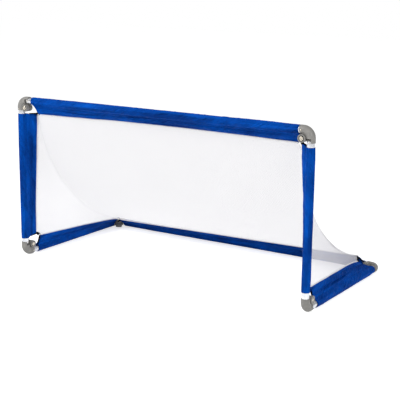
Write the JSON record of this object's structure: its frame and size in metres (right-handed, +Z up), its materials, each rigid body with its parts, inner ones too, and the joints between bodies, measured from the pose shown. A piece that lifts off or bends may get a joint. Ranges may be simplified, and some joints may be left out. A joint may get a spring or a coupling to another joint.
{
  "type": "folding mini soccer goal",
  "caption": "Small folding goal: a zinc tube frame with locking hinge elbows, blue cloth sleeves round the tubes and a net slung from the crossbar to the rear bar.",
  "frame": {"origin": "middle of the goal's box, on the ground", "axes": "+X to the right along the crossbar, seen from in front of the mouth; +Y from the mouth to the rear bar; +Z up"},
  "size_m": [1.2002, 0.6026, 0.6002],
  "materials": {
    "zinc": "bright zinc plating",
    "grey_plastic": "fine matt grain",
    "black_plastic": "moulded, satin",
    "bright_steel": "plated, bright",
    "blue_cloth": "woven nylon, creased",
    "white_net": "knitted polyester mesh",
    "black_webbing": "flat woven tape"
  },
  "bodies": {
    "base": {"left_side_tube": "zinc", "right_side_tube": "zinc", "rear_bar_tube": "zinc", "left_side_sleeve": "blue_cloth", "right_side_sleeve": "blue_cloth", "rear_bar_sleeve": "blue_cloth", "goal_net": "white_net", "rear_left_elbow_housing": "grey_plastic", "rear_left_elbow_knuckle": "grey_plastic", "rear_left_pivot_pin": "bright_steel", "rear_left_button_spring": "bright_steel", "rear_left_corner_binding": "black_webbing", "rear_right_elbow_housing": "grey_plastic", "rear_right_elbow_knuckle": "grey_plastic", "rear_right_pivot_pin": "bright_steel", "rear_right_button_spring": "bright_steel", "rear_right_corner_binding": "black_webbing", "bottom_left_elbow_housing": "grey_plastic", "bottom_left_pivot_pin": "bright_steel", "bottom_left_button_spring": "bright_steel", "bottom_right_elbow_knuckle": "grey_plastic", "bottom_left_corner_binding": "black_webbing", "bottom_right_corner_binding": "black_webbing"},
    "front_frame": {"crossbar_tube": "zinc", "left_post_tube": "zinc", "right_post_tube": "zinc", "crossbar_sleeve": "blue_cloth", "left_post_sleeve": "blue_cloth", "right_post_sleeve": "blue_cloth", "top_left_elbow_housing": "grey_plastic", "top_left_elbow_knuckle": "grey_plastic", "top_left_pivot_pin": "bright_steel", "top_left_button_spring": "bright_steel", "top_left_corner_binding": "black_webbing", "top_right_elbow_housing": "grey_plastic", "top_right_elbow_knuckle": "grey_plastic", "top_right_pivot_pin": "bright_steel", "top_right_button_spring": "bright_steel", "top_right_corner_binding": "black_webbing", "bottom_right_elbow_housing": "grey_plastic", "bottom_right_pivot_pin": "bright_steel", "bottom_right_button_spring": "bright_steel", "bottom_left_elbow_knuckle": "grey_plastic"},
    "top_left_button": {"top_left_push_button": "bright_steel", "top_left_lock_gear": "black_plastic"},
    "top_right_button": {"top_right_push_button": "bright_steel", "top_right_lock_gear": "black_plastic"},
    "bottom_left_button": {"bottom_left_push_button": "bright_steel", "bottom_left_lock_gear": "black_plastic"},
    "bottom_right_button": {"bottom_right_push_button": "bright_steel", "bottom_right_lock_gear": "black_plastic"},
    "rear_left_button": {"rear_left_push_button": "bright_steel", "rear_left_lock_gear": "black_plastic"},
    "rear_right_button": {"rear_right_push_button": "bright_steel", "rear_right_lock_gear": "black_plastic"}
  },
  "joints": [
    {"name": "front_frame_fold", "type": "hinge", "parent": "base", "child": "front_frame", "pos_m": [0, -0.25825, 0.0405], "axis": [-1, 0, 0], "range_deg": [0, 90], "deforming": ["goal_net", "crossbar_sleeve", "left_post_sleeve", "right_post_sleeve", "left_side_sleeve", "right_side_sleeve", "rear_bar_sleeve", "bottom_left_corner_binding", "bottom_right_corner_binding"]},
    {"name": "top_left_button_press", "type": "slide", "parent": "front_frame", "child": "top_left_button", "axis": [0, 1, 0], "range_m": [0, 0.004], "stiffness_N_per_m": 1500, "springref_m": -0.002, "deforming": ["top_left_button_spring"]},
    {"name": "top_right_button_press", "type": "slide", "parent": "front_frame", "child": "top_right_button", "axis": [0, 1, 0], "range_m": [0, 0.004], "stiffness_N_per_m": 1500, "springref_m": -0.002, "deforming": ["top_right_button_spring"]},
    {"name": "bottom_left_button_press", "type": "slide", "parent": "base", "child": "bottom_left_button", "axis": [-1, 0, 0], "range_m": [0, 0.004], "stiffness_N_per_m": 1500, "springref_m": -0.002, "deforming": ["bottom_left_button_spring"]},
    {"name": "bottom_right_button_press", "type": "slide", "parent": "front_frame", "child": "bottom_right_button", "axis": [1, 0, 0], "range_m": [0, 0.004], "stiffness_N_per_m": 1500, "springref_m": -0.002, "deforming": ["bottom_right_button_spring"]},
    {"name": "rear_left_button_press", "type": "slide", "parent": "base", "child": "rear_left_button", "axis": [0, 0, -1], "range_m": [0, 0.004], "stiffness_N_per_m": 1500, "springref_m": -0.002, "deforming": ["rear_left_button_spring"]},
    {"name": "rear_right_button_press", "type": "slide", "parent": "base", "child": "rear_right_button", "axis": [0, 0, -1], "range_m": [0, 0.004], "stiffness_N_per_m": 1500, "springref_m": -0.002, "deforming": ["rear_right_button_spring"]}
  ]
}
